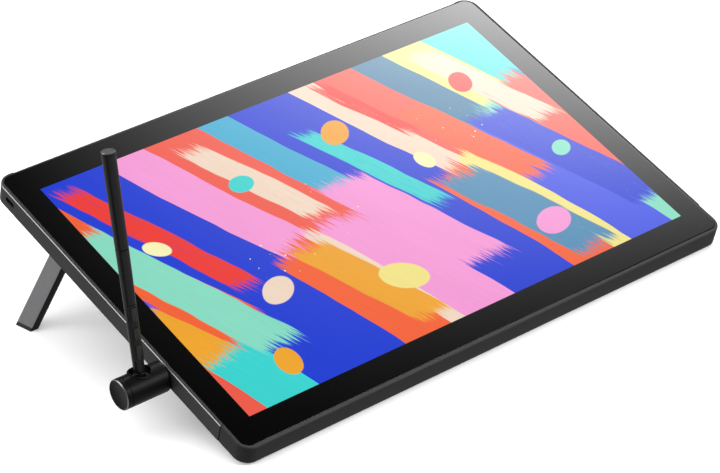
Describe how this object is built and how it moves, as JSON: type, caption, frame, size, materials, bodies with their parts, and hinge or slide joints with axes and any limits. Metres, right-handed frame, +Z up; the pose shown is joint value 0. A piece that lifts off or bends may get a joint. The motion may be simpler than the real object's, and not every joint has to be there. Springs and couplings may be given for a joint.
{
  "type": "pen drawing tablet",
  "caption": "Flat black pen display standing at a slant on folding rear legs, with a side-mounted holder that keeps its slim stylus upright.",
  "frame": {"origin": "centre of the whole object's outline on the surface it stands on, with its legs out", "axes": "+X along the tablet's long side, to the right of someone facing the picture; +Y away from them, towards the raised rear edge; +Z up"},
  "size_m": [0.4164, 0.2468, 0.179],
  "materials": {
    "housing": "fine-grained satin black",
    "side_rails": "black anodised, finely blasted, with a bright-cut upper edge",
    "cover_glass": "polished, printed black round the picture",
    "display_panel": "smooth",
    "light_guide": "white, diffusing",
    "circuit_boards": "green solder mask",
    "sheet_metal": "bare pressed sheet",
    "back_cover": "moulded matt black",
    "legs": "dark grey anodised, finely blasted",
    "bright_steel": "brushed",
    "screws": "black zinc",
    "rubber": "dull",
    "holder": "satin black",
    "pen": "soft-touch black",
    "pen_trim": "smooth satin black",
    "buttons": "satin black",
    "nibs": "dark grey, smooth",
    "grey_plastic": "moulded dark grey",
    "ferrite": "sintered, dull"
  },
  "bodies": {
    "tablet": {"front_frame": "housing", "side_rail_left": "side_rails", "side_rail_right": "side_rails", "cover_glass": "cover_glass", "display_panel": "display_panel", "backlight_unit": "light_guide", "digitizer_board": "circuit_boards", "chassis_plate": "sheet_metal", "back_cover": "back_cover", "main_board": "circuit_boards", "board_shield": "sheet_metal", "port_board": "circuit_boards", "usb_c_port": "bright_steel", "power_switch": "grey_plastic", "back_screw_1": "screws", "back_screw_2": "screws", "back_screw_3": "screws", "back_screw_4": "screws", "back_screw_5": "screws", "back_screw_6": "screws", "rubber_foot_front_left": "rubber", "rubber_foot_front_right": "rubber", "rubber_foot_rear_left": "rubber", "rubber_foot_rear_right": "rubber", "leg_bracket_left": "bright_steel", "leg_bracket_right": "bright_steel", "leg_pin_left": "bright_steel", "leg_pin_right": "bright_steel"},
    "left_leg": {"leg_left": "legs", "leg_foot_pad_left": "rubber"},
    "right_leg": {"leg_right": "legs", "leg_foot_pad_right": "rubber"},
    "power_key": {"power_button": "buttons"},
    "holder": {"holder_body": "holder", "holder_plug": "holder", "socket_liner": "rubber", "nib_tray": "grey_plastic", "spare_nib_1": "nibs", "spare_nib_2": "nibs", "spare_nib_3": "nibs"},
    "cap": {"holder_cap": "holder"},
    "pen": {"pen_front_barrel": "pen", "pen_rear_barrel": "pen", "pen_end_cap": "pen_trim", "pen_button_plate": "pen_trim", "pen_nose_cone": "pen", "pen_coil_core": "ferrite", "pen_pressure_sensor": "bright_steel", "pen_board": "circuit_boards"},
    "nib": {"pen_nib": "nibs"},
    "pen_key_lower": {"pen_button_lower": "buttons"},
    "pen_key_middle": {"pen_button_middle": "buttons"},
    "pen_key_upper": {"pen_button_upper": "buttons"}
  },
  "joints": [
    {"name": "leg_left_fold", "type": "hinge", "parent": "tablet", "child": "left_leg", "pos_m": [-0.14616, 0.08103, 0.07069], "axis": [0, 0.9426, 0.3338], "range_deg": [-111.3, 0]},
    {"name": "leg_right_fold", "type": "hinge", "parent": "tablet", "child": "right_leg", "pos_m": [0.17504, 0.08103, 0.07069], "axis": [0, 0.9426, 0.3338], "range_deg": [0, 111.3]},
    {"name": "power_press", "type": "slide", "parent": "tablet", "child": "power_key", "axis": [0, -0.9426, -0.3338], "range_m": [0, 0.0006], "stiffness_N_per_m": 3000},
    {"name": "holder_pull", "type": "slide", "parent": "tablet", "child": "holder", "axis": [-1, 0, 0], "range_m": [0, 0.03]},
    {"name": "cap_pull", "type": "slide", "parent": "holder", "child": "cap", "axis": [-1, 0, 0], "range_m": [0, 0.012]},
    {"name": "pen_lift", "type": "slide", "parent": "holder", "child": "pen", "axis": [0, 0.0558, 0.9984], "range_m": [0, 0.06]},
    {"name": "nib_press", "type": "slide", "parent": "pen", "child": "nib", "axis": [0, 0.0558, 0.9984], "range_m": [0, 0.0005], "stiffness_N_per_m": 6000},
    {"name": "pen_button_lower_press", "type": "slide", "parent": "pen", "child": "pen_key_lower", "axis": [0.1392, 0.9887, -0.0553], "range_m": [0, 0.0003], "stiffness_N_per_m": 5000},
    {"name": "pen_button_middle_press", "type": "slide", "parent": "pen", "child": "pen_key_middle", "axis": [0.1392, 0.9887, -0.0553], "range_m": [0, 0.0003], "stiffness_N_per_m": 5000},
    {"name": "pen_button_upper_press", "type": "slide", "parent": "pen", "child": "pen_key_upper", "axis": [0.1392, 0.9887, -0.0553], "range_m": [0, 0.0003], "stiffness_N_per_m": 5000}
  ]
}
